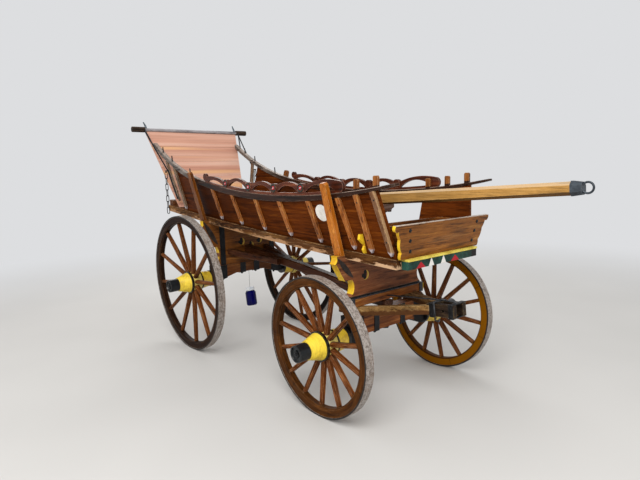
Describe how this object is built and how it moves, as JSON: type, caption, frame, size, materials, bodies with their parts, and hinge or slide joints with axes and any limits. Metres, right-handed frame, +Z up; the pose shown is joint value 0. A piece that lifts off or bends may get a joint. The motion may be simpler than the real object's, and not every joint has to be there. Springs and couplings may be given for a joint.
{
  "type": "four-wheeled farm wagon",
  "caption": "Horse-drawn farm wagon with flared panelled sides, a high tail, spoked iron-tyred wheels and its draught pole stored in the bed.",
  "frame": {"origin": "on the ground under the middle of the whole wagon's length and width", "axes": "+X forward to the pole block and the pole's tip, +Y to the wagon's left, +Z up"},
  "size_m": [4.5594, 1.7884, 2.265],
  "materials": {
    "axle_wood": "satin",
    "black_iron": "matte",
    "blue_glaze": "gloss",
    "dark_wood": "matte",
    "green_paint": "satin",
    "grey_iron": "matte",
    "light_varnish": "satin",
    "pole_wood": "matte",
    "red_brown_paint": "satin",
    "salmon_board": "matte",
    "varnished_board": "satin",
    "varnished_wood": "satin",
    "weathered_wood": "matte",
    "wheel_varnish": "satin",
    "white_paint": "satin",
    "worn_iron": "worn",
    "yellow_paint": "satin"
  },
  "bodies": {
    "wagon": {"bolster_irons": "black_iron", "bottom_rail_left": "weathered_wood", "bottom_rail_right": "weathered_wood", "box_front_board": "varnished_board", "box_rear_board": "yellow_paint", "box_side_boards": "varnished_board", "crest_left": "red_brown_paint", "crest_right": "red_brown_paint", "floor_bearers": "weathered_wood", "floor_boards": "weathered_wood", "front_bolster": "varnished_board", "front_sill": "green_paint", "grease_pot": "blue_glaze", "king_pin": "black_iron", "pole": "pole_wood", "pole_tip_irons": "grey_iron", "reach": "varnished_wood", "rear_axle": "axle_wood", "rear_axle_straps": "black_iron", "rear_bolster": "varnished_board", "rear_bolster_braces": "black_iron", "rear_cross_beam": "weathered_wood", "rear_hounds": "varnished_wood", "ribs_left": "varnished_wood", "ribs_right": "varnished_wood", "round_plate": "white_paint", "seat_board": "dark_wood", "seat_cleats": "dark_wood", "side_panel_left": "varnished_board", "side_panel_right": "varnished_board", "sill_strip": "yellow_paint", "stakes_front": "light_varnish", "stakes_rear": "light_varnish", "tail_bar": "weathered_wood", "tail_chains": "black_iron", "tail_irons": "black_iron", "tailboard": "salmon_board", "top_rail_left": "dark_wood", "top_rail_right": "dark_wood"},
    "front_carriage": {"front_axle": "axle_wood", "front_axle_straps": "black_iron", "sand_board": "varnished_wood", "sand_board_plate": "grey_iron", "tongs": "axle_wood", "pole_block": "dark_wood", "pole_block_bands": "black_iron"},
    "front_left_wheel": {"front_left_hub": "yellow_paint", "front_left_spokes_and_felloes": "wheel_varnish", "front_left_tyre": "worn_iron"},
    "front_right_wheel": {"front_right_hub": "yellow_paint", "front_right_spokes_and_felloes": "wheel_varnish", "front_right_tyre": "worn_iron"},
    "rear_left_wheel": {"rear_left_hub": "yellow_paint", "rear_left_spokes_and_felloes": "wheel_varnish", "rear_left_tyre": "worn_iron"},
    "rear_right_wheel": {"rear_right_hub": "yellow_paint", "rear_right_spokes_and_felloes": "wheel_varnish", "rear_right_tyre": "worn_iron"}
  },
  "joints": [
    {"name": "steering", "type": "hinge", "parent": "wagon", "child": "front_carriage", "pos_m": [0.78127, 0, 0.7], "axis": [0, 0, 1], "range_deg": [-35, 35]},
    {"name": "front_left_wheel_spin", "type": "hinge", "parent": "front_carriage", "child": "front_left_wheel", "pos_m": [0.78127, 0.6945, 0.4997], "axis": [0, 0.9994, -0.0349], "continuous": true},
    {"name": "front_right_wheel_spin", "type": "hinge", "parent": "front_carriage", "child": "front_right_wheel", "pos_m": [0.78127, -0.6945, 0.4997], "axis": [0, -0.9994, -0.0349], "continuous": true},
    {"name": "rear_left_wheel_spin", "type": "hinge", "parent": "wagon", "child": "rear_left_wheel", "pos_m": [-1.18573, 0.6945, 0.6636], "axis": [0, 0.9994, -0.0349], "continuous": true},
    {"name": "rear_right_wheel_spin", "type": "hinge", "parent": "wagon", "child": "rear_right_wheel", "pos_m": [-1.18573, -0.6945, 0.6636], "axis": [0, -0.9994, -0.0349], "continuous": true}
  ]
}
